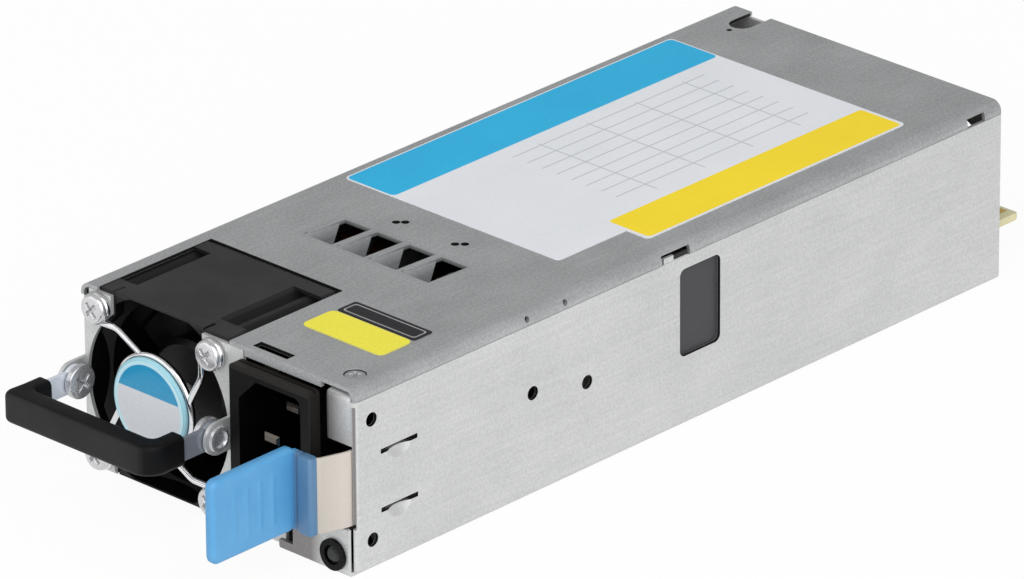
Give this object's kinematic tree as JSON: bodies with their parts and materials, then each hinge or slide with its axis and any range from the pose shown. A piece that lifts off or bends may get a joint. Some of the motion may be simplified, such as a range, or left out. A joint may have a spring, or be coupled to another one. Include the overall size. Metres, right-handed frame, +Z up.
{
  "type": "hot swap server power supply",
  "caption": "Slim steel-cased server power supply with an axial fan behind a wire guard, an upright power inlet, a spring latch tab, a folding handle and a rear card edge.",
  "frame": {"origin": "middle of the case's underside", "axes": "+Y along the case from the fan end to the card edge, +X across, +Z up from the underside"},
  "size_m": [0.0734, 0.2253, 0.0391],
  "materials": {
    "case_steel": "satin zinc-plated steel sheet",
    "bright_steel": "bright plated steel",
    "spring_steel": "satin spring steel",
    "black_plastic": "fine satin moulding",
    "grip_plastic": "soft satin moulding",
    "blue_plastic": "satin moulding",
    "label_film": "printed film",
    "yellow_film": "printed film",
    "black_film": "printed film",
    "disc_plastic": "glossy moulding",
    "lens": "clear grey lens",
    "brass": "nickel-plated brass",
    "gold": "gilt contacts",
    "copper": "copper wire and bar",
    "board": "glass-fibre laminate",
    "sheet_plastic": "insulating sheet",
    "wire_cover": "wire insulation",
    "ferrite": "sintered ferrite",
    "magnet": "bonded magnet",
    "aluminium": "extruded",
    "can": "sleeved can",
    "component_plastic": "moulded case",
    "fuse_body": "ceramic tube"
  },
  "bodies": {
    "case": {"chassis": "case_steel", "top_cover": "case_steel", "rear_panel": "case_steel", "cover_screw": "bright_steel", "fan_frame": "black_plastic", "fan_bearings": "bright_steel", "fan_stator": "case_steel", "fan_coils": "copper", "fan_board": "board", "finger_guard": "bright_steel", "guard_disc": "disc_plastic", "disc_label": "label_film", "fan_screws": "bright_steel", "fan_lead": "wire_cover", "pivot_screws": "bright_steel", "inlet_body": "black_plastic", "inlet_line_pin": "brass", "inlet_neutral_pin": "brass", "inlet_earth_pin": "brass", "inlet_leads": "wire_cover", "latch_root": "spring_steel", "lamp_bezel": "black_plastic", "lamp_lens": "lens", "insulator_sheet": "sheet_plastic", "main_board": "board", "board_standoffs": "brass", "board_screws": "bright_steel", "output_card": "board", "card_contacts": "gold", "output_busbars": "copper", "filter_choke_core": "ferrite", "filter_choke_winding": "copper", "boost_choke_core": "ferrite", "boost_choke_winding": "copper", "x_capacitors": "component_plastic", "relay": "sheet_plastic", "fuse": "fuse_body", "bridge_rectifier": "sheet_plastic", "bulk_capacitor": "can", "primary_heatsink": "aluminium", "transistors": "sheet_plastic", "transformer_core": "ferrite", "transformer_winding": "component_plastic", "secondary_heatsink": "aluminium", "output_inductor": "ferrite", "output_capacitors": "can", "control_board": "board", "rating_label": "label_film", "yellow_sticker": "yellow_film", "black_sticker": "black_film", "window_film": "black_film"},
    "fan_wheel": {"fan_rotor": "black_plastic", "fan_shaft": "bright_steel", "rotor_magnet": "magnet"},
    "handle": {"handle_arms": "bright_steel", "handle_grip": "grip_plastic"},
    "latch": {"latch_spring": "spring_steel", "latch_tab": "blue_plastic"}
  },
  "joints": [
    {"name": "fan_spin", "type": "hinge", "parent": "case", "child": "fan_wheel", "pos_m": [-0.0162, -0.075, 0.0195], "axis": [0, 1, 0], "continuous": true},
    {"name": "handle_fold", "type": "hinge", "parent": "case", "child": "handle", "pos_m": [0, -0.0963, 0.0198], "axis": [1, 0, 0], "range_deg": [-60, 60]},
    {"name": "latch_release", "type": "hinge", "parent": "case", "child": "latch", "pos_m": [0.0355, -0.07, 0.0187], "axis": [0, 0, -1], "range_deg": [0, 5], "stiffness_Nm_per_rad": 0.5}
  ]
}
